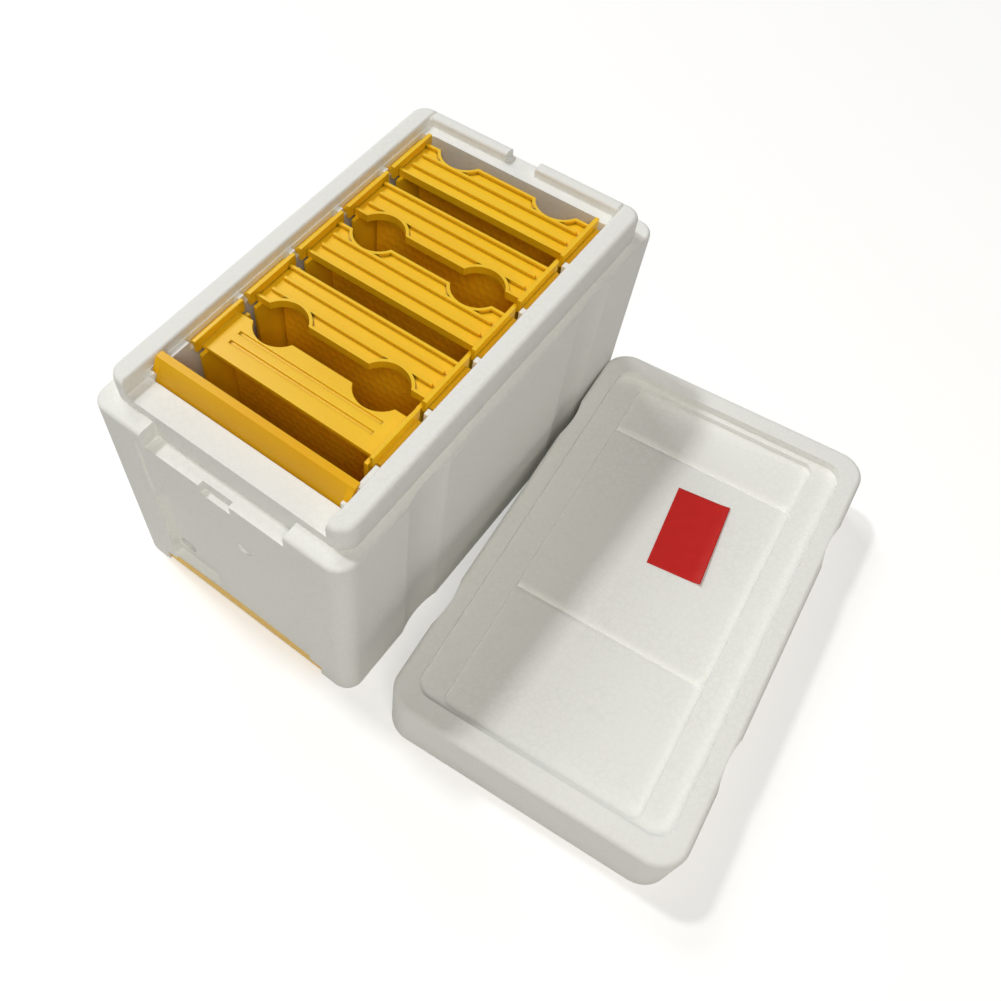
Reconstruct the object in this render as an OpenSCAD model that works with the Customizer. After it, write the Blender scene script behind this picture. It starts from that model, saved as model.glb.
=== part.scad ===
// Mating nuc box: a moulded foam box with a sliding floor, a feeder and five mini frames.
// The foam lid lies on the ground beside the box. +X is right, +Y runs to the far end, +Z is up.
// The origin is the middle of the underside of the box.

/* [Frames] */
// Length of a frame between the inner faces of its end lips
frame_l = 95; // [85:1:115]
// Height of a frame from the foot of its end bars to the top of its bar
frame_h = 104; // [80:1:130]
// Distance from one frame to the next
frame_pitch = 35; // [33:0.5:40]
// Width of the top bar
bar_w = 24; // [20:0.5:28]
// Thickness of the plate of the top bar
bar_t = 2.4; // [1.6:0.1:4]
// Diameter of the round passage that two facing notches make
hole_d = 25; // [18:0.5:28]
// Distance between the two passages along the bar
hole_span = 56; // [44:1:62]
// Height of the thin ribs on a ribbed top bar
rib_h = 1.8; // [0.6:0.1:2]
// Width of the thin ribs on a ribbed top bar
rib_w = 1.5; // [0.8:0.1:1.6]
// Distance between the two long ribs on a ribbed top bar
rib_span = 8.4; // [8:0.1:10]
// Distance between the two long grooves in the plain top bar beside the feeder
bar_groove_span = 6.2; // [5:0.1:8]
// Width of a long groove
bar_groove_w = 1.9; // [0.6:0.1:2.4]
// Depth of a long groove
bar_groove_d = 1.1; // [0.4:0.1:1.4]
// Distance from the end of a long groove to the lip
bar_groove_margin = 8; // [4:0.5:14]
// Length of an end lip, which spaces the frame from its neighbours
lip_l = 31; // [25:0.5:32]
// Height of an end lip above the bar
lip_h = 4.6; // [3:0.1:7]
// Thickness of an end lip
lip_t = 2; // [1.5:0.1:3]
// Reach of the resting lug past the lip
lug_reach = 4; // [3:0.1:4.5]
// Width of an end bar
end_bar_w = 31; // [20:0.5:31]
// Thickness of an end bar
end_bar_t = 2; // [1.5:0.1:3]
// Width of the tabs that clip the bars together
tab_w = 7; // [4:0.5:9]
// Width of the bottom bar
bottom_bar_w = 10; // [8:0.5:14]
// Thickness of the bottom bar
bottom_bar_t = 3; // [2:0.1:5]
// Height of the bottom bar above the foot of the end bars
bottom_bar_lift = 2; // [1:0.1:4]
// Gap between the foundation sheet and the bottom bar
sheet_gap = 1; // [0.5:0.1:5]
// Thickness of the foundation sheet
sheet_t = 1.6; // [1:0.1:3]
// Depth of the holder that grips the foundation sheet
holder_h = 5; // [3:0.5:8]
// Thickness of each jaw of that holder
holder_t = 1.8; // [1.2:0.1:3]

/* [Foam box] */
// Thickness of the long walls
side_wall = 19; // [16:0.5:24]
// Thickness of the near end wall
near_wall = 22.4; // [20:0.2:28]
// Thickness of the far end wall
far_wall = 22; // [18:0.5:28]
// Thickness of the floor
floor_t = 16; // [14:0.5:24]
// Plan radius of the outer corners
box_r = 9; // [6:0.5:14]
// Plan radius of the inside corners
inner_r = 5; // [2:0.5:8]
// Gap between a long wall and a lip of the frames
frame_gap = 3.5; // [3:0.1:5]
// Gap below the frames for the bees
under_gap = 10.6; // [8:0.2:14]
// Length of the bay that the feeder stands in
feeder_bay = 20.6; // [18:0.2:26]
// Drop from the top of the bars to the ledge for the lid
ledge_drop = 6.6; // [4:0.2:9]

/* [Rim of the box] */
// Height of the rim above the ledge
rim_rise = 14; // [13:0.5:18]
// Width of the ledge outside the rim on the long sides
side_ledge = 5; // [3:0.1:6]
// Width of the ledge outside the rim at the far end
far_ledge = 9.5; // [6:0.5:12]
// Radius of the rounded top edge of the rim
rim_round = 3; // [1:0.5:5]
// Radius of the rounded inside edge of the rim
rim_in_round = 1.5; // [0.5:0.5:2]
// Radius of the rounded outer edge of the ledge
ledge_round = 2; // [0.5:0.5:2.5]
// Plan radius of the rim at its corners
rim_r = 8; // [5:0.5:10]
// Height of the shelf inside the rim above the ledge
shelf_rise = 9; // [8:0.2:11]
// Width of the shelf inside the rim on the long sides
side_shelf = 3.6; // [3.2:0.1:7]
// Width of the shelf inside the rim at the far end
far_shelf = 5.5; // [4:0.1:7]
// Height of the sill at the near end above the ledge
sill_rise = 5; // [3:0.2:7]
// Depth of the corner blocks outside the sill
block_d = 9; // [7:0.5:12]
// Width of the finger gap between the corner blocks
finger_gap_w = 79; // [60:1:84]
// Depth of the finger gap below the ledge
finger_gap_h = 10; // [6:0.5:14]
// Width of the notch in the middle of both ends
notch_w = 17; // [12:0.5:24]
// Depth of the near notch into the wall
notch_d = 3; // [2:0.5:5]
// Height of the near notch
notch_h = 6; // [4:0.5:12]

/* [Walls of the box] */
// Distance from the middle to each strap groove
strap_y = 64; // [50:1:80]
// Width of a strap groove
strap_w = 28; // [20:1:34]
// Depth of a strap groove
strap_d = 2; // [1:0.1:2]
// Width of the sunk panel in the near wall
panel_w = 90; // [84:1:96]
// Depth of the sunk panel
panel_d = 1; // [0.8:0.1:2]
// Width of the porch at the entrance
porch_w = 32; // [28:0.5:32.5]
// Height of the porch above the ground
porch_h = 78; // [60:1:92]
// Height of the foot of the porch above the front lip of the sliding floor
porch_lift = 3; // [1:0.5:4]
// Radius of the top corners of the porch
porch_r = 10; // [4:0.5:13]
// Depth of the porch behind the sunk panel
porch_d = 4; // [3:0.5:8]
// Distance of the porch from the middle, to the left
porch_x = 28.6; // [27:0.1:28.8]
// Diameter of the entrance hole
entrance_d = 10; // [8:0.5:12]
// Distance of the entrance hole from the middle, to the left
entrance_x = 38; // [32:0.5:38.5]
// Height of the lowest point of the entrance above the floor
entrance_lift = 2; // [0.5:0.5:6]
// Diameter of the small round mould mark on the panel
mark_d = 8; // [5:0.5:10]
// Depth of the mould mark
mark_deep = 1.2; // [0.6:0.1:2]
// Distance of the mould mark from the middle, to the right
mark_x = 12.5; // [5:0.5:30]
// Height of the mould mark
mark_z = 82; // [60:1:90]

/* [Sliding floor] */
// Width of the sliding floor
slide_w = 104; // [98:1:106]
// Thickness of the sliding floor
slide_t = 3; // [2:0.2:4]
// Thickness of the foam below the sliding floor
skin_t = 4; // [3:0.2:6]
// Height of the arched front lip at its ends
front_lip_end_h = 7.5; // [7:0.5:9]
// Height of the arched front lip in its middle
front_lip_mid_h = 10; // [9.5:0.5:13]
// Thickness of the front lip
front_lip_t = 3; // [2:0.2:4]
// Thickness of foam past the end of the slot
slot_stop = 20; // [14:1:30]
// Width of the vent windows in the floor
vent_w = 64; // [40:1:76]
// Length of each vent window
vent_l = 56; // [40:1:64]
// Width of the foam bridge between the two vent windows
vent_bridge = 28; // [20:1:40]
// Number of slits in the grille of the sliding floor
slit_count = 8; // [4:1:10]
// Width of a slit
slit_w = 3; // [2:0.2:4]
// Length of a slit
slit_l = 44; // [30:1:50]

/* [Feeder] */
// Thickness of the walls of the trough
trough_t = 2; // [1.6:0.1:3]
// Thickness of the tall near panel
tall_panel_t = 3.6; // [2:0.1:4.5]
// Lean of the tall panel above the sill, away from the near wall
panel_lean = 5.5; // [3:0.5:7]
// Height of the trough above the floor, which leaves the way in below it
trough_lift = 20; // [16:1:30]
// Height of the low far wall of the trough below the bars
trough_drop = 20; // [10:1:40]
// Height of the ears at the top of the tall panel
ear_h = 6.5; // [5.5:0.5:8]
// Reach of each ear past the room, onto the shelf
ear_reach = 2.5; // [1.5:0.5:5]

/* [Lid] */
// Height of the lid
lid_h = 36; // [32:0.5:50]
// Plan radius of the corners of the lid
lid_r = 14; // [8:0.5:20]
// Overhang of the lid past each long wall
lid_over_side = 1.5; // [1:0.1:5]
// Overhang of the lid past each end wall
lid_over_end = 1; // [0.5:0.1:4]
// Radius of the rounded top edge
lid_round = 3; // [1:0.5:5]
// Width of the border round the dish on the long sides
border_side = 9.5; // [7:0.5:14]
// Width of the border round the dish at the ends
border_end = 11; // [8:0.5:16]
// Depth of the first step of the dish
dish_1_d = 4.5; // [2:0.5:5]
// Width of the band between the two steps on the long sides
band_side = 13.5; // [8:0.5:20]
// Width of the band between the two steps at the ends
band_end = 3; // [2:0.5:8]
// Depth of the second step of the dish
dish_2_d = 3; // [1:0.5:4]
// Distance from the middle to the far groove across the dish
far_groove_y = 77; // [60:1:90]
// Distance from the middle to the near groove across the dish
near_groove_y = 34; // [20:1:60]
// Width of the grooves across the dish
dish_groove_w = 7; // [4:0.5:10]
// Depth of the grooves across the dish
dish_groove_d = 2.8; // [0.8:0.2:4]
// Angle that the lid is turned on the ground
lid_turn = 5; // [0:0.5:8]
// Gap between the lid and the box on the ground
lid_gap = 0.3; // [0.3:0.1:40]
// Shift of the lid towards the far end
lid_shift = 5; // [0:1:20]

/* [Label] */
// Width of the plain label
label_w = 27; // [20:1:40]
// Length of the plain label
label_l = 49; // [30:1:60]
// Thickness of the label
label_t = 0.4; // [0.2:0.1:1]
// Distance of the label from the middle of the lid, to the right
label_x = 10.4; // [0:0.1:24]
// Distance of the label from the middle of the lid, to the far end
label_y = 36; // [10:1:45]
// Angle of the label on the lid
label_turn = 5; // [0:1:10]

/* [Fits] */
// Clearance of the loose pieces in their pockets
fit_gap = 0.4; // [0.3:0.05:0.6]
// Clearance of the clipped tabs in their slots
tab_gap = 0.1; // [0.05:0.05:0.3]
// Clearance between the rim and the inside of the lid
lid_fit = 0.8; // [0.4:0.1:1.5]

/* [Hidden] */
$fn = 64;

foam = "white";
plastic = "orange";

// Overrun of every cut past the face that it opens
over = 1;
frame_count = 5;
// Share of its width that rounds the corners of a slit
slit_round_share = 3 / 8;
// Share of the thickness of the plate that the parts joined to it reach into it
root_share = 1 / 2;

// Plan of the box, worked out from the frames that it holds
inner_w = frame_l + 2 * frame_gap;
inner_l = feeder_bay + frame_count * frame_pitch;
box_w = inner_w + 2 * side_wall;
box_l = inner_l + near_wall + far_wall;
near_y = -box_l / 2;
far_y = box_l / 2;
inner_near_y = near_y + near_wall;
inner_far_y = far_y - far_wall;

// Levels of the box
bar_z = floor_t + under_gap + frame_h;
foot_z = floor_t + under_gap;
plate_z = bar_z - bar_t;
root_z = plate_z + bar_t * root_share;
ledge_z = bar_z - ledge_drop;
shelf_z = ledge_z + shelf_rise;
sill_z = ledge_z + sill_rise;
rim_z = ledge_z + rim_rise;
strip_z = ledge_z - finger_gap_h;
block_y = near_y + block_d;

// Plan of the rim
rim_far_y = far_y - far_ledge;
rim_w = box_w - 2 * side_ledge;

// Ends of the frame: lip, lug and end bar
lip_x = frame_l / 2;
lug_x = lip_x + lip_t + lug_reach;
lug_l = lip_l - 2 * lip_t;
end_bar_x = lip_x - lip_t / 2;
end_bar_in = end_bar_x - end_bar_t;
bottom_bar_z = foot_z + bottom_bar_lift;
holder_l = 2 * (end_bar_in - holder_t);
sheet_slot = sheet_t + 2 * tab_gap;
sheet_z = bottom_bar_z + bottom_bar_t + sheet_gap;

// Sliding floor and its slot
slot_w = slide_w + 2 * fit_gap;
slot_h = slide_t + fit_gap;
slot_end_y = far_y - slot_stop;
slide_l = slot_end_y - fit_gap - near_y;
vent_y = (vent_bridge + vent_l) / 2;
lip_rise = front_lip_mid_h - front_lip_end_h;
front_lip_w = slide_w - 2 * fit_gap;
front_lip_r = (front_lip_w * front_lip_w / 4 + lip_rise * lip_rise) / (2 * lip_rise);
front_lip_foot = fit_gap;
porch_z = front_lip_mid_h + porch_lift;

// Feeder
foot_y = inner_near_y + fit_gap;
tall_y = foot_y + panel_lean;
trough_far_y = inner_near_y + feeder_bay - fit_gap;
trough_w = inner_w - 2 * fit_gap;
trough_z = floor_t + trough_lift;
trough_top_z = bar_z - trough_drop;
trough_ear_x = inner_w / 2 + ear_reach;
ear_z = rim_z - ear_h;
ear_y = foot_y + panel_lean * (ear_z - sill_z) / (rim_z - sill_z);

// Lid, and where it lies
lid_w = box_w + 2 * lid_over_side;
lid_l = box_l + 2 * lid_over_end;
lid_cavity_h = rim_rise + lid_fit;
dish_w = lid_w - 2 * border_side;
dish_l = lid_l - 2 * border_end;
floor_w = dish_w - 2 * band_side;
floor_l = dish_l - 2 * band_end;
dish_floor_z = lid_h - dish_1_d - dish_2_d;
lid_reach = (lid_w / 2 - lid_r) * cos(lid_turn) + (lid_l / 2 - lid_r) * sin(lid_turn) + lid_r;
lid_x = box_w / 2 + lid_gap + lid_reach;

// Radius of the cylinder that cuts a strap groove
strap_r = (strap_w * strap_w / 4 + strap_d * strap_d) / (2 * strap_d);

// Place of a frame along the box, counted from the feeder
function frame_y(i) = inner_far_y - (frame_count - i) * frame_pitch + frame_pitch / 2;

// Flat rectangle with round corners, centred
module rounded(w, l, r) {
    square([w - 2 * r, l], center = true);
    square([w, l - 2 * r], center = true);
    for (x = [-1, 1], y = [-1, 1])
        translate([x * (w / 2 - r), y * (l / 2 - r)]) circle(r);
}

// Upright block on a rounded rectangle
module block(w, l, r, h) {
    linear_extrude(height = h) rounded(w, l, r);
}

// Upright box, centred in X, from y1 to y2 and from z1 to z2
module bar_box(w, y1, y2, z1, z2) {
    translate([-w / 2, y1, z1]) cube([w, y2 - y1, z2 - z1]);
}

// Both copies of a piece that is mirrored across the middle
module both_sides() {
    children();
    mirror([1, 0, 0]) children();
}

// Upright strap grooves on both long sides of a block that is w wide and h high
module strap_grooves(w, h) {
    for (x = [-1, 1], y = [-1, 1])
        translate([x * (w / 2 + strap_r - strap_d), y * strap_y, -over])
            cylinder(r = strap_r, h = h + 2 * over, $fn = 128);
}

// Section that a round edge takes off a square one, with the edge at the origin
module edge_section(r) {
    difference() {
        translate([-r, -r]) square(r + over);
        translate([-r, -r]) circle(r);
    }
}

// Cutter that rounds the top edge of a block with round corners
module edge_cutter(w, l, r, edge_r) {
    for (turn = [0, 180]) rotate(turn) {
        translate([w / 2, 0, 0]) rotate([90, 0, 0])
            linear_extrude(height = l - 2 * r, center = true) edge_section(edge_r);
        translate([0, l / 2, 0]) rotate([90, 0, 90])
            linear_extrude(height = w - 2 * r, center = true) edge_section(edge_r);
        translate([w / 2 - r, l / 2 - r, 0])
            rotate_extrude(angle = 90) translate([r, 0]) edge_section(edge_r);
        translate([r - w / 2, l / 2 - r, 0]) rotate(90)
            rotate_extrude(angle = 90) translate([r, 0]) edge_section(edge_r);
    }
}

// Rim on the ledge, with a rounded top edge
module rim_block() {
    rim_l = rim_far_y - block_y;
    translate([0, block_y + rim_l / 2, ledge_z]) difference() {
        translate([0, 0, -over]) block(rim_w, rim_l, rim_r, rim_rise + over);
        translate([0, 0, rim_rise]) edge_cutter(rim_w, rim_l, rim_r, rim_round);
    }
}

// Cutter that rounds the inside edges of the rim
module rim_in_cutter() {
    long_y = rim_far_y - block_y;
    both_sides() translate([-inner_w / 2 - side_shelf, block_y + long_y / 2, rim_z]) rotate([90, 0, 0])
        linear_extrude(height = long_y, center = true) edge_section(rim_in_round);
    translate([0, inner_far_y + far_shelf, rim_z]) rotate([90, 0, -90])
        linear_extrude(height = inner_w + 2 * side_shelf, center = true) edge_section(rim_in_round);
}

// Everything inside the rim that is open: the room, the shelf, the sill and the pockets
module box_inside() {
    translate([0, (inner_near_y + inner_far_y) / 2, floor_t]) block(inner_w, inner_l, inner_r, rim_z);
    bar_box(inner_w, inner_near_y, inner_near_y + feeder_bay, floor_t, rim_z + over);
    shelf_w = inner_w + 2 * side_shelf;
    bar_box(shelf_w, near_y - over, inner_far_y + far_shelf, shelf_z, rim_z + over);
    bar_box(shelf_w, near_y - over, inner_near_y, sill_z, rim_z + over);
    bar_box(notch_w, inner_far_y, far_y + over, shelf_z, rim_z + over);
    pocket_w = 2 * (lug_x + fit_gap);
    pocket_l = lip_l + 2 * fit_gap;
    for (i = [0 : frame_count - 1])
        bar_box(pocket_w, frame_y(i) - pocket_l / 2, frame_y(i) + pocket_l / 2, plate_z, rim_z + over);
    ear_w = 2 * (trough_ear_x + fit_gap);
    bar_box(ear_w, ear_y - fit_gap, tall_y + tall_panel_t + fit_gap, ear_z, rim_z + over);
}

// What is sunk into the near wall: finger gap, panel, notch, porch, entrance and mould mark
module near_wall_cuts() {
    panel_y = near_y + panel_d;
    porch_y = panel_y + porch_d;
    entrance_r = entrance_d / 2;
    bar_box(finger_gap_w, near_y - over, block_y, strip_z, ledge_z + over);
    bar_box(panel_w, near_y - over, panel_y, -over, strip_z + over);
    bar_box(notch_w, near_y - over, panel_y + notch_d, strip_z - notch_h, strip_z + over);
    translate([-porch_x, porch_y, 0]) rotate([90, 0, 0])
        linear_extrude(height = porch_y - near_y + over) {
            translate([0, (porch_h + porch_z) / 2]) rounded(porch_w, porch_h - porch_z, porch_r);
            translate([-porch_w / 2, porch_z]) square([porch_w, porch_h / 2]);
        }
    translate([-entrance_x, inner_near_y + over, floor_t + entrance_lift + entrance_r]) rotate([90, 0, 0])
        cylinder(r = entrance_r, h = near_wall + 2 * over);
    translate([mark_x, panel_y + mark_deep, mark_z]) rotate([90, 0, 0])
        cylinder(d = mark_d, h = panel_d + mark_deep + over);
}

// Arched outline of the front lip of the sliding floor, grown by a gap
module front_lip_outline(gap, foot) {
    intersection() {
        translate([-front_lip_w / 2 - gap, foot])
            square([front_lip_w + 2 * gap, front_lip_mid_h + gap - foot]);
        translate([0, front_lip_mid_h - front_lip_r]) circle(front_lip_r + gap, $fn = 256);
    }
}

// Slot for the sliding floor, the room for its front lip, and the vent windows
module floor_cuts() {
    bar_box(slot_w, near_y - over, slot_end_y, skin_t, skin_t + slot_h);
    translate([0, near_y + panel_d + front_lip_t + fit_gap, 0]) rotate([90, 0, 0])
        linear_extrude(height = panel_d + front_lip_t + fit_gap + over)
            front_lip_outline(fit_gap, -over);
    for (y = [-vent_y, vent_y])
        bar_box(vent_w, y - vent_l / 2, y + vent_l / 2, -over, floor_t + over);
}

module hive_body() {
    color(foam) difference() {
        union() {
            difference() {
                block(box_w, box_l, box_r, ledge_z);
                translate([0, 0, ledge_z]) edge_cutter(box_w, box_l, box_r, ledge_round);
            }
            rim_block();
            bar_box(inner_w, block_y, inner_near_y, ledge_z, sill_z);
        }
        strap_grooves(box_w, ledge_z);
        box_inside();
        rim_in_cutter();
        near_wall_cuts();
        floor_cuts();
    }
}

module floor_slide() {
    lip_y = near_y + panel_d;
    slit_pitch = vent_w / slit_count;
    color(plastic) difference() {
        union() {
            bar_box(slide_w, lip_y, near_y + slide_l, skin_t, skin_t + slide_t);
            translate([0, lip_y + front_lip_t, 0]) rotate([90, 0, 0])
                linear_extrude(height = front_lip_t) front_lip_outline(0, front_lip_foot);
        }
        for (i = [0 : slit_count - 1])
            translate([(i + 1 / 2) * slit_pitch - vent_w / 2, vent_y, skin_t - over])
                block(slit_w, slit_l, slit_w * slit_round_share, slide_t + 2 * over);
    }
}

// Side view of an end wall of the trough
module trough_end_outline() {
    polygon([
        [foot_y, trough_z], [trough_far_y, trough_z], [trough_far_y, trough_top_z],
        [foot_y + tall_panel_t, sill_z], [foot_y, sill_z]
    ]);
}

// Side view of the tall panel: upright below the sill, leaning above it
module panel_outline() {
    polygon([
        [foot_y, trough_z], [foot_y + tall_panel_t, trough_z], [foot_y + tall_panel_t, sill_z],
        [tall_y + tall_panel_t, rim_z], [tall_y, rim_z], [foot_y, sill_z]
    ]);
}

// Side view of an ear, which carries on the leaning part of the panel
module ear_outline() {
    polygon([
        [ear_y, ear_z], [ear_y + tall_panel_t, ear_z], [tall_y + tall_panel_t, rim_z], [tall_y, rim_z]
    ]);
}

// Upright plate across the box, w wide, from a side view
module across(w) {
    translate([-w / 2, 0, 0]) rotate([90, 0, 90]) linear_extrude(height = w) children();
}

module feeder_trough() {
    color(plastic) {
        across(trough_w) panel_outline();
        across(2 * trough_ear_x) ear_outline();
        bar_box(trough_w, foot_y, trough_far_y, trough_z, trough_z + trough_t);
        bar_box(trough_w, trough_far_y - trough_t, trough_far_y, trough_z, trough_top_z);
        both_sides() translate([(trough_w - trough_t) / 2, 0, 0]) across(trough_t) trough_end_outline();
    }
}

// Moves a piece to where the lid lies on the ground
module at_lid() {
    translate([lid_x, lid_shift, 0]) rotate(lid_turn) children();
}

// Side view of a groove across the dish, with sloping sides
module groove_outline() {
    polygon([
        [-dish_groove_w / 2, over], [-dish_groove_w / 2, 0], [0, -dish_groove_d],
        [dish_groove_w / 2, 0], [dish_groove_w / 2, over]
    ]);
}

module lid() {
    cavity_w = rim_w + 2 * lid_fit;
    cavity_near_y = block_y - lid_fit;
    cavity_l = rim_far_y + lid_fit - cavity_near_y;
    color(foam) at_lid() difference() {
        block(lid_w, lid_l, lid_r, lid_h);
        translate([0, 0, lid_h]) edge_cutter(lid_w, lid_l, lid_r, lid_round);
        strap_grooves(lid_w, lid_h);
        translate([0, cavity_near_y + cavity_l / 2, -over])
            block(cavity_w, cavity_l, rim_r, lid_cavity_h + over);
        translate([0, 0, lid_h - dish_1_d]) block(dish_w, dish_l, box_r, dish_1_d + over);
        translate([0, 0, dish_floor_z]) block(floor_w, floor_l, inner_r, dish_1_d + dish_2_d + over);
        for (y = [-near_groove_y, far_groove_y])
            translate([0, y, dish_floor_z]) across(floor_w) groove_outline();
    }
}

module lid_label() {
    color("firebrick") at_lid() translate([label_x, label_y, dish_floor_z]) rotate(label_turn)
        bar_box(label_w, -label_l / 2, label_l / 2, 0, label_t);
}

// Plan of a top bar with the two notches in its +Y edge, drawn in by an edge
module bar_outline(edge) {
    difference() {
        square([2 * (lip_x + lip_t), bar_w - 2 * edge], center = true);
        for (x = [-1, 1])
            translate([x * hole_span / 2, frame_pitch / 2]) circle(hole_d / 2 + edge);
    }
}

// Moves a frame to its place; every second frame is turned end for end
module at_frame(i) {
    translate([0, frame_y(i), 0]) rotate(180 * (i % 2)) children();
}

// Two jaws below the bar that grip the foundation sheet
module sheet_holder() {
    jaw_w = sheet_slot + 2 * holder_t;
    difference() {
        bar_box(holder_l, -jaw_w / 2, jaw_w / 2, plate_z - holder_h, root_z);
        bar_box(holder_l + 2 * over, -sheet_slot / 2, sheet_slot / 2, plate_z - holder_h - over, plate_z);
    }
}

// Two lines along the bar, w wide and span apart, from z1 to z2
module bar_lines(l, w, span, z1, z2) {
    for (y = [-span / 2, span / 2]) bar_box(l, y - w / 2, y + w / 2, z1, z2);
}

// Thin ribs of a ribbed bar: along both edges, round the notches and along the middle
module bar_ribs() {
    translate([0, 0, root_z]) linear_extrude(height = bar_z + rib_h - root_z) {
        difference() {
            bar_outline(0);
            bar_outline(rib_w);
        }
        intersection() {
            bar_outline(0);
            for (y = [-rib_span / 2, rib_span / 2])
                translate([0, y]) square([2 * end_bar_in, rib_w], center = true);
        }
    }
}

module top_bar(i) {
    groove_l = 2 * (lip_x - bar_groove_margin);
    color(plastic) at_frame(i) {
        difference() {
            translate([0, 0, plate_z]) linear_extrude(height = bar_t) bar_outline(0);
            if (i == 0) bar_lines(groove_l, bar_groove_w, bar_groove_span, bar_z - bar_groove_d, bar_z + over);
            both_sides() translate([end_bar_in - tab_gap, -tab_w / 2 - tab_gap, plate_z - over])
                cube([end_bar_t + 2 * tab_gap, tab_w + 2 * tab_gap, root_z + tab_gap - plate_z + over]);
        }
        if (i > 0) bar_ribs();
        sheet_holder();
        both_sides() {
            translate([lip_x, -lip_l / 2, plate_z]) cube([lip_t, lip_l, bar_t + lip_h]);
            translate([lip_x, -lug_l / 2, plate_z]) cube([lip_t + lug_reach, lug_l, bar_t]);
        }
    }
}

module end_bars(i) {
    color(plastic) at_frame(i) both_sides() translate([end_bar_in, 0, 0]) difference() {
        union() {
            translate([0, -end_bar_w / 2, foot_z]) cube([end_bar_t, end_bar_w, plate_z - foot_z]);
            translate([0, -tab_w / 2, foot_z]) cube([end_bar_t, tab_w, root_z - foot_z]);
        }
        translate([-over, -tab_w / 2 - tab_gap, bottom_bar_z - tab_gap])
            cube([end_bar_t + 2 * over, tab_w + 2 * tab_gap, bottom_bar_t + 2 * tab_gap]);
    }
}

module bottom_bar(i) {
    color(plastic) at_frame(i) translate([0, 0, bottom_bar_z]) {
        bar_box(2 * end_bar_in, -bottom_bar_w / 2, bottom_bar_w / 2, 0, bottom_bar_t);
        bar_box(2 * end_bar_x, -tab_w / 2, tab_w / 2, 0, bottom_bar_t);
    }
}

module foundation(i) {
    color(plastic) at_frame(i) bar_box(holder_l, -sheet_t / 2, sheet_t / 2, sheet_z, plate_z);
}

hive_body();
floor_slide();
feeder_trough();
lid();
lid_label();
for (i = [0 : frame_count - 1]) {
    top_bar(i);
    end_bars(i);
    bottom_bar(i);
    foundation(i);
}
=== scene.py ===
"""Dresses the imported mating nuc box: white foam box and lid, amber frames, feeder and floor, red label."""

import logging
import math
from dataclasses import dataclass
from enum import Enum
from typing import Any

import bpy
import numpy as np
from mathutils import Matrix, Vector

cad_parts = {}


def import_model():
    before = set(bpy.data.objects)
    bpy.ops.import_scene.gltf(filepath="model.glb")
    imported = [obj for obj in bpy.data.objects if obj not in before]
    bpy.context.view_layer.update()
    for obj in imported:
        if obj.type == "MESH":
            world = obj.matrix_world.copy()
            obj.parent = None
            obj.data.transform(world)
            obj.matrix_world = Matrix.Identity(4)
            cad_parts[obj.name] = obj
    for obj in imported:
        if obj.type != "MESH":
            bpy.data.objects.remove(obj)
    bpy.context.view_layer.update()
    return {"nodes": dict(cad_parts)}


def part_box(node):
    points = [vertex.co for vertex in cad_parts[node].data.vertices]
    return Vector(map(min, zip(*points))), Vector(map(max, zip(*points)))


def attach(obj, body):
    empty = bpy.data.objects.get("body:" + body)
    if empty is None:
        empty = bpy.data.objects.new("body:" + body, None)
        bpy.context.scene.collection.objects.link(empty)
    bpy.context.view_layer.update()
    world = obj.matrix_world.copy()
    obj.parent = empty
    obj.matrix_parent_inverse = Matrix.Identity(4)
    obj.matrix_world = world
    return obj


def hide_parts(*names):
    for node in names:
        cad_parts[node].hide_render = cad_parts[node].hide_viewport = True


LOG = logging.getLogger("nuc_box")
MM = 0.001
FRAME_COUNT = 5
FRAME_PLASTICS = ("top_bar", "end_bars", "bottom_bar")
WELD_MM = 0.01
FLAT_DEG = 0.5
SHARP_DEG = 40
NORMAL_WEIGHT = 50


class Slot(Enum):
    """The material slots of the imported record."""

    FOAM = "foam"
    PLASTIC = "plastic"
    LABEL = "label"


def linear(hex_code: str) -> tuple[float, float, float, float]:
    """Turns an sRGB hex colour into a linear one.

    The sRGB curve is a straight line near black and a power above it.

    Args:
        hex_code: six hex digits, with or without a leading hash.

    Returns:
        Linear red, green, blue and an alpha of one.
    """
    digits = hex_code.lstrip("#")
    shares = np.array([int(digits[i : i + 2], 16) for i in (0, 2, 4)]) / 255
    low = shares / 12.92
    high = ((shares + 0.055) / 1.055) ** 2.4
    red, green, blue = np.where(shares <= 0.04045, low, high).tolist()
    return red, green, blue, 1.0


def add_node(
    tree: bpy.types.NodeTree,
    kind: str,
    settings: dict[str, Any] | None = None,
    values: dict[str | int, Any] | None = None,
    links: dict[str | int, bpy.types.NodeSocket] | None = None,
) -> bpy.types.Node:
    """Adds one shader node with its settings, socket values and links.

    Args:
        tree: the node tree that gets the node.
        kind: the node's type name.
        settings: attributes of the node.
        values: default values by input name or number.
        links: output sockets by input name or number.

    Returns:
        The new node.
    """
    node = tree.nodes.new(kind)
    for name, value in (settings or {}).items():
        setattr(node, name, value)
    for name, value in (values or {}).items():
        node.inputs[name].default_value = value
    for name, socket in (links or {}).items():
        tree.links.new(socket, node.inputs[name])
    return node


def new_material(
    name: str,
) -> tuple[bpy.types.Material, bpy.types.NodeTree, bpy.types.Node, bpy.types.NodeSocket]:
    """Makes an empty material with a shader and Object coordinates.

    Args:
        name: the material's name.

    Returns:
        The material, its tree, its Principled shader and the Object coordinate socket.
    """
    material = bpy.data.materials.new(name)
    material.use_nodes = True
    tree = material.node_tree
    tree.nodes.clear()
    shader = add_node(tree, "ShaderNodeBsdfPrincipled")
    add_node(tree, "ShaderNodeOutputMaterial", links={"Surface": shader.outputs["BSDF"]})
    place = add_node(tree, "ShaderNodeTexCoord").outputs["Object"]
    return material, tree, shader, place


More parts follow.
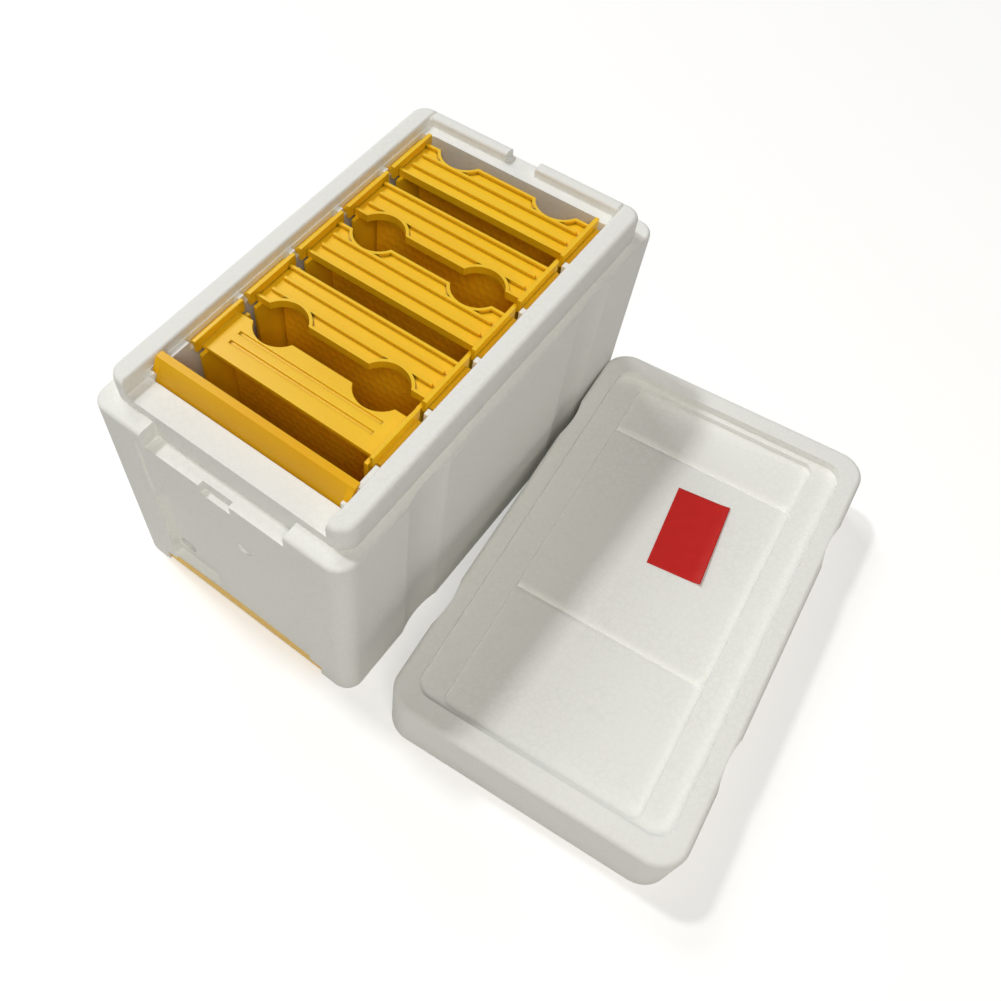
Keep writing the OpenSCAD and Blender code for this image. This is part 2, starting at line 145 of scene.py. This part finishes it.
def set_values(shader: bpy.types.Node, values: dict[str, Any]) -> None:
    """Sets the uniform values of a shader on its own sockets.

    Args:
        shader: the shader node.
        values: values by input name.
    """
    for name, value in values.items():
        shader.inputs[name].default_value = value


def set_ramp(node: bpy.types.Node, stops: list[tuple[float, tuple[float, float, float, float]]]) -> None:
    """Gives a colour ramp its two stops.

    Args:
        node: the ramp node.
        stops: place and linear colour of the first and the last stop.
    """
    for element, (place, colour) in zip(node.color_ramp.elements, stops):
        element.position = place
        element.color = colour


@dataclass(frozen=True)
class MouldedFoam:
    """Expanded polystyrene from a steam mould: matt white skin of fused beads, a little light goes in."""

    white: str = "#F5F6F2"
    seam: str = "#F0F1EC"
    bead_mm: float = 3.6
    patch_mm: float = 38.0
    roughness: float = 0.72
    seam_share: float = 0.16
    seam_weight: float = 0.55
    seam_depth_mm: float = 0.2
    seam_bump: float = 0.12
    tone_stops: tuple[float, float] = (0.25, 0.85)
    scatter: float = 0.15
    scatter_mm: float = 3.0

    def build(self) -> bpy.types.Material:
        """Builds the foam: bead cells press shallow seams into the skin, and broad patches vary its white.

        Returns:
            The material.
        """
        material, tree, shader, place = new_material("moulded_polystyrene_foam")
        beads = add_node(
            tree,
            "ShaderNodeTexVoronoi",
            settings={"feature": "DISTANCE_TO_EDGE"},
            values={"Scale": 1 / (self.bead_mm * MM), "Randomness": 0.9},
            links={"Vector": place},
        )
        seams = add_node(
            tree,
            "ShaderNodeMapRange",
            settings={"interpolation_type": "SMOOTHSTEP"},
            values={"From Min": 0.0, "From Max": self.seam_share, "To Min": 0.0, "To Max": 1.0},
            links={"Value": beads.outputs["Distance"]},
        )
        patches = add_node(
            tree,
            "ShaderNodeTexNoise",
            values={"Scale": 1 / (self.patch_mm * MM), "Detail": 3.0, "Roughness": 0.55},
            links={"Vector": place},
        )
        shade = add_node(
            tree,
            "ShaderNodeMath",
            settings={"operation": "MULTIPLY_ADD"},
            values={1: self.seam_weight},
            links={0: seams.outputs["Result"], 2: patches.outputs["Fac"]},
        )
        ramp = add_node(tree, "ShaderNodeValToRGB", links={"Fac": shade.outputs["Value"]})
        dark_stop, light_stop = self.tone_stops
        set_ramp(ramp, [(dark_stop, linear(self.seam)), (light_stop, linear(self.white))])
        bump = add_node(
            tree,
            "ShaderNodeBump",
            values={"Strength": self.seam_bump, "Distance": self.seam_depth_mm * MM},
            links={"Height": seams.outputs["Result"]},
        )
        tree.links.new(ramp.outputs["Color"], shader.inputs["Base Color"])
        tree.links.new(bump.outputs["Normal"], shader.inputs["Normal"])
        set_values(
            shader,
            {
                "Roughness": self.roughness,
                "IOR": 1.45,
                "Specular IOR Level": 0.3,
                "Subsurface Weight": self.scatter,
                "Subsurface Radius": (1.0, 0.95, 0.85),
                "Subsurface Scale": self.scatter_mm * MM,
            },
        )
        return material


@dataclass(frozen=True)
class AmberPlastic:
    """Injection-moulded polypropylene: satin amber, with faint flow streaks and some light that goes in."""

    name: str = "moulded_amber_polypropylene"
    bright: str = "#FDCE1B"
    deep: str = "#F8C313"
    streak_mm: float = 22.0
    grain_mm: float = 1.1
    roughness: float = 0.31
    # Painted shade: how far the occlusion looks for close sides of the same piece.
    painted_shade_reach_mm: float = 1.7
    specular: float = 0.42
    streak_stretch: tuple[float, float, float] = (0.25, 1.0, 1.0)
    tone_stops: tuple[float, float] = (0.3, 0.7)
    # Painted shade: the occlusion values between which the colour darkens, and the darkest share of the
    # colour that it keeps.
    painted_shade_stops: tuple[float, float] = (0.42, 0.76)
    painted_shade_darkest: float = 0.2
    gloss_range: tuple[float, float] = (-0.05, 0.09)
    grain_depth_mm: float = 0.1
    grain_bump: float = 0.08
    scatter: float = 0.15
    scatter_mm: float = 2.0

    def build(self) -> bpy.types.Material:
        """Builds the plastic: long streaks vary its colour, and a fine grain breaks its gloss.

        Painted shade darkens the colour in grooves and beside ribs: ambient occlusion within the piece
        scales it down. The real grain is about half a millimetre and is drawn coarser, so that it shows in
        the render.

        Returns:
            The material.
        """
        material, tree, shader, place = new_material(self.name)
        stretch = add_node(
            tree,
            "ShaderNodeMapping",
            values={"Scale": self.streak_stretch},
            links={"Vector": place},
        )
        streaks = add_node(
            tree,
            "ShaderNodeTexNoise",
            values={"Scale": 1 / (self.streak_mm * MM), "Detail": 4.0, "Roughness": 0.6, "Distortion": 0.4},
            links={"Vector": stretch.outputs["Vector"]},
        )
        ramp = add_node(tree, "ShaderNodeValToRGB", links={"Fac": streaks.outputs["Fac"]})
        dark_stop, light_stop = self.tone_stops
        set_ramp(ramp, [(dark_stop, linear(self.deep)), (light_stop, linear(self.bright))])
        # Painted shade: ambient occlusion within the piece scales the colour down in grooves and beside
        # ribs.
        corners = add_node(
            tree,
            "ShaderNodeAmbientOcclusion",
            settings={"samples": 6, "only_local": True},
            values={"Distance": self.painted_shade_reach_mm * MM},
        )
        closed, opened = self.painted_shade_stops
        shade = add_node(
            tree,
            "ShaderNodeMapRange",
            values={"From Min": closed, "From Max": opened, "To Min": self.painted_shade_darkest, "To Max": 1.0},
            links={"Value": corners.outputs["AO"]},
        )
        colour = add_node(
            tree,
            "ShaderNodeVectorMath",
            settings={"operation": "SCALE"},
            links={0: ramp.outputs["Color"], "Scale": shade.outputs["Result"]},
        )
        grain = add_node(
            tree,
            "ShaderNodeTexNoise",
            values={"Scale": 1 / (self.grain_mm * MM), "Detail": 2.0},
            links={"Vector": place},
        )
        smooth, rough = (self.roughness + change for change in self.gloss_range)
        gloss = add_node(
            tree,
            "ShaderNodeMapRange",
            values={"From Min": dark_stop, "From Max": light_stop, "To Min": smooth, "To Max": rough},
            links={"Value": grain.outputs["Fac"]},
        )
        bump = add_node(
            tree,
            "ShaderNodeBump",
            values={"Strength": self.grain_bump, "Distance": self.grain_depth_mm * MM},
            links={"Height": grain.outputs["Fac"]},
        )
        tree.links.new(colour.outputs["Vector"], shader.inputs["Base Color"])
        tree.links.new(gloss.outputs["Result"], shader.inputs["Roughness"])
        tree.links.new(bump.outputs["Normal"], shader.inputs["Normal"])
        set_values(
            shader,
            {
                "IOR": 1.49,
                "Specular IOR Level": self.specular,
                "Subsurface Weight": self.scatter,
                "Subsurface Radius": (1.0, 0.5, 0.08),
                "Subsurface Scale": self.scatter_mm * MM,
            },
        )
        return material


@dataclass(frozen=True)
class RedFilm:
    """Printed vinyl film: flat red ink under a satin coat, with a slight unevenness of the ink."""

    bright: str = "#CA241F"
    deep: str = "#C3201C"
    mottle_mm: float = 6.0
    tone_stops: tuple[float, float] = (0.3, 0.7)
    mottle_depth_mm: float = 0.1
    mottle_bump: float = 0.06
    roughness: float = 0.48
    specular: float = 0.22

    def build(self) -> bpy.types.Material:
        """Builds the film: a slow mottle varies the ink, and the coat gives it a soft shine.

        Returns:
            The material.
        """
        material, tree, shader, place = new_material("red_vinyl_film")
        mottle = add_node(
            tree,
            "ShaderNodeTexNoise",
            values={"Scale": 1 / (self.mottle_mm * MM), "Detail": 3.0},
            links={"Vector": place},
        )
        ramp = add_node(tree, "ShaderNodeValToRGB", links={"Fac": mottle.outputs["Fac"]})
        dark_stop, light_stop = self.tone_stops
        set_ramp(ramp, [(dark_stop, linear(self.deep)), (light_stop, linear(self.bright))])
        bump = add_node(
            tree,
            "ShaderNodeBump",
            values={"Strength": self.mottle_bump, "Distance": self.mottle_depth_mm * MM},
            links={"Height": mottle.outputs["Fac"]},
        )
        tree.links.new(ramp.outputs["Color"], shader.inputs["Base Color"])
        tree.links.new(bump.outputs["Normal"], shader.inputs["Normal"])
        set_values(shader, {"Roughness": self.roughness, "IOR": 1.5, "Specular IOR Level": self.specular})
        return material


def smooth_step(values: np.ndarray, low: float, high: float) -> np.ndarray:
    """Eases values from 0 at low to 1 at high, with a level start and end.

    Args:
        values: the numbers to ease.
        low: where the rise starts.
        high: where the rise ends.

    Returns:
        The eased numbers, between 0 and 1.
    """
    share = np.clip((values - low) / (high - low), 0, 1)
    return share * share * (3 - 2 * share)


def grid_faces(across: int, along: int, offset: int, flip: bool) -> np.ndarray:
    """Gives the quads of a grid whose points run across first.

    Args:
        across: number of points across.
        along: number of points along.
        offset: index of the grid's first point.
        flip: turns the faces over.

    Returns:
        An array of four point indices to a face.
    """
    index = np.arange(across * along).reshape(along, across) + offset
    corners = [index[:-1, :-1], index[:-1, 1:], index[1:, 1:], index[1:, :-1]]
    quads = np.stack(corners, axis=-1).reshape(-1, 4)
    return quads[:, ::-1] if flip else quads


def sheet_mesh(name: str, upper: np.ndarray, lower: np.ndarray) -> bpy.types.Object:
    """Closes two grids of points into one thin solid sheet.

    The upper and the lower surface are grids of the same shape. A band of quads joins their borders, so the
    sheet is watertight, and its faces point away from the space between the grids.

    Args:
        name: the piece's name.
        upper: points of the face that is seen, as along x across x 3.
        lower: points of the face behind it, in the same order.

    Returns:
        The new object, with its place in its mesh.
    """
    along, across = upper.shape[:2]
    count = along * across
    points = np.concatenate([upper.reshape(-1, 3), lower.reshape(-1, 3)])
    index = np.arange(count).reshape(along, across)
    border = np.concatenate([index[0, :-1], index[:-1, -1], index[-1, :0:-1], index[:0:-1, 0]])
    after = np.roll(border, -1)
    band = np.stack([after, border, border + count, after + count], axis=-1)
    front = grid_faces(across, along, 0, False)
    back = grid_faces(across, along, count, True)
    faces = np.concatenate([front, back, band])
    mesh = bpy.data.meshes.new(name)
    mesh.from_pydata(points.tolist(), [], faces.tolist())
    mesh.validate()
    mesh.update()
    mesh.polygons.foreach_set("use_smooth", np.arange(len(mesh.polygons)) < len(front) + len(back))
    piece = bpy.data.objects.new(name, mesh)
    bpy.context.scene.collection.objects.link(piece)
    return piece


def soften(node: bpy.types.Object, width_mm: float, segments: int, join_flat: bool = False) -> None:
    """Rounds the sharp edges of a CAD node with live modifiers, and leaves its mesh alone.

    Args:
        node: the CAD node.
        width_mm: how far the rounding reaches from an edge.
        segments: how many strips make the rounding.
        join_flat: joins the triangles of each flat face first, which a face full of cut-outs needs.
    """
    weld = node.modifiers.new("join_triangles", "WELD")
    weld.merge_threshold = WELD_MM * MM
    if join_flat:
        flat = node.modifiers.new("join_flat_faces", "DECIMATE")
        flat.decimate_type = "DISSOLVE"
        flat.angle_limit = math.radians(FLAT_DEG)
    bevel = node.modifiers.new("round_edges", "BEVEL")
    bevel.width = width_mm * MM
    bevel.segments = segments
    bevel.limit_method = "ANGLE"
    bevel.angle_limit = math.radians(SHARP_DEG)
    bevel.use_clamp_overlap = True
    bevel.miter_outer = "MITER_SHARP"
    even = node.modifiers.new("even_shading", "WEIGHTED_NORMAL")
    even.mode = "FACE_AREA"
    even.keep_sharp = False
    even.weight = NORMAL_WEIGHT


def dress(node: bpy.types.Object, material: bpy.types.Material) -> None:
    """Gives a piece one material in place of those that it has."""
    node.data.materials.clear()
    node.data.materials.append(material)


@dataclass
class FoamPart:
    """One foam moulding: a CAD node whose moulded edges are rounded."""

    node: str
    edge_mm: float
    segments: int = 3

    def build(self, nodes: dict[str, bpy.types.Object]) -> None:
        """Rounds the edges of the moulding."""
        soften(nodes[self.node], self.edge_mm, self.segments)

    def dress(self, nodes: dict[str, bpy.types.Object], foam: bpy.types.Material) -> None:
        """Puts the foam on the moulding."""
        dress(nodes[self.node], foam)
        LOG.info("foam part %s", self.node)


@dataclass
class PlasticPart:
    """One plastic moulding: a CAD node with small moulded radii."""

    node: str
    edge_mm: float = 0.35
    segments: int = 2
    join_flat: bool = False

    def build(self, nodes: dict[str, bpy.types.Object]) -> None:
        """Rounds the edges of the moulding."""
        soften(nodes[self.node], self.edge_mm, self.segments, self.join_flat)

    def dress(self, nodes: dict[str, bpy.types.Object], plastic: bpy.types.Material) -> None:
        """Puts the plastic on the moulding."""
        dress(nodes[self.node], plastic)
        LOG.info("plastic part %s", self.node)


@dataclass
class FoundationSheet:
    """A foundation sheet: moulded plastic with the outline of worker cells on both faces."""

    node: str
    body: str
    cell_mm: float = 5.4
    sink_mm: float = 0.2
    wall_mm: float = 0.9
    wall_top_share: float = 1 / 3
    step_mm: float = 0.6
    border_mm: tuple[float, float] = (0.2, 0.8)

    def relief(self, across: np.ndarray, up: np.ndarray) -> np.ndarray:
        """Works out how deep each point lies under the cell walls.

        Each point takes the nearer centre of two shifted rectangular lattices, which together make a lattice
        of hexagons. Its distance to the side of its hexagon is half the cell size less the largest of its
        three projections on the directions across the sides. The floor of a cell lies at the full depth, and
        the walls rise over the wall's width.

        Args:
            across: places along the sheet in metres.
            up: heights in metres.

        Returns:
            Depths in metres.
        """
        cell = self.cell_mm * MM
        step = np.array([cell, cell * math.sqrt(3)])
        place = np.stack([across, up], axis=-1)
        first = np.mod(place, step) - step / 2
        second = np.mod(place - step / 2, step) - step / 2
        nearer = (first**2).sum(-1, keepdims=True) < (second**2).sum(-1, keepdims=True)
        offset = np.abs(np.where(nearer, first, second))
        reach = np.maximum(offset[..., 0], offset[..., 0] / 2 + offset[..., 1] * math.sqrt(3) / 2)
        inset = cell / 2 - reach
        wall = self.wall_mm * MM
        return self.sink_mm * MM * smooth_step(inset, wall * self.wall_top_share, wall)

    def build(self) -> bpy.types.Object:
        """Builds the sheet where its CAD node is: two faces with the relief, closed round the border.

        Returns:
            The sheet.
        """
        low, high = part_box(self.node)
        columns = int((high.x - low.x) / (self.step_mm * MM)) + 1
        rows = int((high.z - low.z) / (self.step_mm * MM)) + 1
        across, up = np.meshgrid(np.linspace(low.x, high.x, columns), np.linspace(low.z, high.z, rows))
        depth = self.relief(across, up)
        beside = np.minimum(across - low.x, high.x - across)
        inside = np.minimum(beside, np.minimum(up - low.z, high.z - up))
        flat_mm, full_mm = self.border_mm
        depth = depth * smooth_step(inside, flat_mm * MM, full_mm * MM)
        front = np.stack([across, low.y + depth, up], axis=-1)
        back = np.stack([across, high.y - depth, up], axis=-1)
        return sheet_mesh(self.node + "_comb", front, back)

    def dress(self, sheet: bpy.types.Object, plastic: bpy.types.Material) -> None:
        """Puts the plastic on the sheet, in place of its plain CAD node.

        Args:
            sheet: the sheet that was built.
            plastic: its finish.
        """
        dress(sheet, plastic)
        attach(sheet, self.body)
        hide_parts(self.node)
        LOG.info("foundation sheet %s", sheet.name)


@dataclass
class PlainLabel:
    """The plain film label on the lid, with one long edge that has come up a little."""

    node: str = "lid_label"
    body: str = "lid"
    width_mm: float = 27.0
    length_mm: float = 49.0
    film_mm: float = 0.25
    lift_mm: float = 1.3
    turn_deg: float = 10.0
    seat_mm: float = 0.02
    grid: tuple[int, int] = (41, 51)
    curl_from: float = 0.78
    curl_share: float = 0.22
    curl_wave: float = 0.25
    wave_rad: float = 3.0

    def build(self) -> bpy.types.Object:
        """Builds the film: a flat sheet that curls up along its right edge, turned as it is stuck.

        The rise grows with the square of the distance past the start of the curl, and varies along the edge
        as a cosine.

        Returns:
            The label.
        """
        low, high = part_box(self.node)
        across, along = self.grid
        share_u, share_v = np.meshgrid(np.linspace(0, 1, across), np.linspace(0, 1, along))
        along_x = (share_u - 0.5) * self.width_mm * MM
        along_y = (share_v - 0.5) * self.length_mm * MM
        curl = np.clip((share_u - self.curl_from) / self.curl_share, 0, 1) ** 2
        wave = 1 - self.curl_wave + self.curl_wave * np.cos(self.wave_rad * share_v)
        rise = self.lift_mm * MM * curl * wave
        turn = math.radians(self.turn_deg)
        place_x = (low.x + high.x) / 2 + along_x * math.cos(turn) - along_y * math.sin(turn)
        place_y = (low.y + high.y) / 2 + along_x * math.sin(turn) + along_y * math.cos(turn)
        under = np.stack([place_x, place_y, low.z + self.seat_mm * MM + rise], axis=-1)
        over = under + np.array([0, 0, self.film_mm * MM])
        return sheet_mesh("label_film", over, under)

    def dress(self, label: bpy.types.Object, film: bpy.types.Material) -> None:
        """Puts the red film on the label, in place of its plain CAD node.

        Args:
            label: the label that was built.
            film: its finish.
        """
        dress(label, film)
        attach(label, self.body)
        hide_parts(self.node)
        LOG.info("label %s", label.name)


@dataclass(frozen=True)
class Lamp:
    """One square studio lamp: its tint, power and side, where it hangs and what it points at, in metres."""

    name: str
    tint: str
    watts: float
    side: float
    place: tuple[float, float, float]
    aim: tuple[float, float, float]

    def build(self) -> None:
        """Hangs the lamp and points it."""
        data = bpy.data.lights.new(self.name, "AREA")
        data.shape = "SQUARE"
        data.size = self.side
        data.energy = self.watts
        data.color = linear(self.tint)[:3]
        lamp = bpy.data.objects.new(self.name, data)
        lamp.location = self.place
        aim = Vector(self.aim) - Vector(self.place)
        lamp.rotation_euler = aim.to_track_quat("-Z", "Y").to_euler()
        bpy.context.scene.collection.objects.link(lamp)


@dataclass
class Studio:
    """Plain pale floor, white surround, two lamps from the left, a soft fill and the camera of the photo.

    The heading turns from +Y towards +X, the dip lies below level and the roll is about the line of sight,
    all in radians. Pixels are those of the square frame of the photo.
    """

    floor_m: float = 2.0
    floor_drop_mm: float = 0.3
    floor_white: str = "#E4E4E2"
    floor_glow: float = 0.42
    sky: float = 0.12
    key_lamp: Lamp = Lamp("key_lamp", "#FDFEFF", 50.0, 0.32, (-2.02, 0.1, 3.38), (0.08, 0.0, 0.06))
    fill_lamp: Lamp = Lamp("fill_lamp", "#FFF8EE", 15.5, 1.0, (0.76, -0.98, 1.68), (0.05, 0.0, 0.1))
    side_lamp: Lamp = Lamp("side_lamp", "#FDFEFF", 32.0, 1.0, (-2.6, 1.14, 2.98), (0.0, 0.0, 0.1))
    eye: tuple[float, float, float] = (0.181138, -0.241187, 0.45542)
    heading: float = -0.671
    dip: float = 1.015
    roll: float = -0.006
    focal_px: float = 973.142
    middle_px: tuple[float, float] = (373.096, 487.477)
    frame_px: float = 1001.0
    sensor_mm: float = 36.0
    near_clip_m: float = 0.01

    def build_floor(self) -> None:
        """Lays the floor: matt and pale, and a little brighter to the camera so that it reads as white."""
        half = self.floor_m / 2
        corners = np.array([[-half, -half], [half, -half], [half, half], [-half, half]])
        points = np.column_stack([corners, np.full(len(corners), -self.floor_drop_mm * MM)])
        mesh = bpy.data.meshes.new("studio_floor")
        mesh.from_pydata(points.tolist(), [], [(0, 1, 2, 3)])
        floor = bpy.data.objects.new("studio_floor", mesh)
        bpy.context.scene.collection.objects.link(floor)
        material = bpy.data.materials.new("matt_white_paper")
        material.use_nodes = True
        tree = material.node_tree
        tree.nodes.clear()
        paper = add_node(tree, "ShaderNodeBsdfDiffuse", values={"Color": linear(self.floor_white)})
        rays = add_node(tree, "ShaderNodeLightPath")
        seen = self.camera_share(tree, rays)
        glow = add_node(
            tree,
            "ShaderNodeMath",
            settings={"operation": "MULTIPLY"},
            values={1: self.floor_glow},
            links={0: seen},
        )
        light = add_node(tree, "ShaderNodeEmission", links={"Strength": glow.outputs["Value"]})
        both = add_node(
            tree,
            "ShaderNodeAddShader",
            links={0: paper.outputs["BSDF"], 1: light.outputs["Emission"]},
        )
        add_node(tree, "ShaderNodeOutputMaterial", links={"Surface": both.outputs["Shader"]})
        mesh.materials.append(material)

    def camera_share(self, tree: bpy.types.NodeTree, rays: bpy.types.Node) -> bpy.types.NodeSocket:
        """Gives a socket that is 1 for camera, glossy and transmission rays.

        Args:
            tree: the node tree that gets the nodes.
            rays: its Light Path node.

        Returns:
            The socket.
        """
        glossy = add_node(
            tree,
            "ShaderNodeMath",
            settings={"operation": "MAXIMUM"},
            links={0: rays.outputs["Is Camera Ray"], 1: rays.outputs["Is Glossy Ray"]},
        )
        clear = add_node(
            tree,
            "ShaderNodeMath",
            settings={"operation": "MAXIMUM"},
            links={0: glossy.outputs["Value"], 1: rays.outputs["Is Transmission Ray"]},
        )
        return clear.outputs["Value"]

    def build_world(self) -> None:
        """Surrounds the scene with even light, which the camera sees as white."""
        world = bpy.data.worlds.new("studio_surround")
        world.use_nodes = True
        tree = world.node_tree
        tree.nodes.clear()
        rays = add_node(tree, "ShaderNodeLightPath")
        seen = self.camera_share(tree, rays)
        level = add_node(
            tree,
            "ShaderNodeMapRange",
            values={"From Min": 0.0, "From Max": 1.0, "To Min": self.sky, "To Max": 1.0},
            links={"Value": seen},
        )
        sky = add_node(
            tree,
            "ShaderNodeBackground",
            values={"Color": (1.0, 1.0, 1.0, 1.0)},
            links={"Strength": level.outputs["Result"]},
        )
        add_node(tree, "ShaderNodeOutputWorld", links={"Surface": sky.outputs["Background"]})
        bpy.context.scene.world = world

    def build_camera(self) -> None:
        """Sets the camera where the photo was taken from, with its lens and its framing."""
        ahead = Vector(
            (
                math.sin(self.heading) * math.cos(self.dip),
                math.cos(self.heading) * math.cos(self.dip),
                -math.sin(self.dip),
            )
        )
        level = Vector((math.cos(self.heading), -math.sin(self.heading), 0))
        above = level.cross(ahead)
        right = math.cos(self.roll) * level + math.sin(self.roll) * above
        up = right.cross(ahead)
        data = bpy.data.cameras.new("photo_camera")
        data.sensor_width = self.sensor_mm
        data.lens = self.focal_px / self.frame_px * data.sensor_width
        data.shift_x = (self.frame_px / 2 - self.middle_px[0]) / self.frame_px
        data.shift_y = (self.middle_px[1] - self.frame_px / 2) / self.frame_px
        data.clip_start = self.near_clip_m
        camera = bpy.data.objects.new("photo_camera", data)
        turn = Matrix((right, up, -ahead)).transposed().to_4x4()
        camera.matrix_world = Matrix.Translation(self.eye) @ turn
        bpy.context.scene.collection.objects.link(camera)
        bpy.context.scene.camera = camera

    def build(self) -> None:
        """Builds the floor, the light and the camera, and sets the plain view transform."""
        self.build_floor()
        self.build_world()
        self.key_lamp.build()
        self.fill_lamp.build()
        self.side_lamp.build()
        self.build_camera()
        bpy.context.scene.view_settings.view_transform = "Standard"


def main() -> None:
    """Builds and dresses every piece, then the studio."""
    logging.basicConfig(level=logging.INFO, format="%(name)s: %(message)s")
    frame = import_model()
    nodes = frame["nodes"]
    foam = MouldedFoam().build()
    plastic = AmberPlastic().build()
    film = RedFilm().build()
    # Painted light: a redder, more orange copy of the amber plastic for the foundation sheets. It stands in
    # for the glow of the shaded gaps between frames.
    gap_glow_plastic = AmberPlastic(
        name="foundation_polypropylene_painted_gap_glow",
        bright="#FFC81C",
        deep="#FFBE16",
    ).build()
    # Painted shade: a deeper copy of the amber plastic for the feeder, whose front faces away from the
    # lamps. It also has a lower specular level.
    feeder_shade_plastic = AmberPlastic(
        name="feeder_polypropylene_painted_shade",
        bright="#F6BD13",
        deep="#F0B20D",
        specular=0.2,
    ).build()
    for part in (FoamPart(node="hive_body", edge_mm=0.9), FoamPart(node="lid", edge_mm=1.4)):
        part.build(nodes)
        part.dress(nodes, foam)
    names = ["floor_slide", "feeder_trough"]
    frame_numbers = range(1, FRAME_COUNT + 1)
    names += [f"frame_{i}_{kind}" for i in frame_numbers for kind in FRAME_PLASTICS]
    for name in names:
        part = PlasticPart(name, join_flat=name.endswith("top_bar"))
        part.build(nodes)
        # The feeder takes the deeper copy of the plastic, which paints shade on it.
        part.dress(nodes, feeder_shade_plastic if name == "feeder_trough" else plastic)
    for i in frame_numbers:
        sheet = FoundationSheet(f"frame_{i}_foundation", f"frame_{i}")
        sheet.dress(sheet.build(), gap_glow_plastic)
    label = PlainLabel()
    label.dress(label.build(), film)
    Studio().build()


if __name__ == "__main__":
    main()
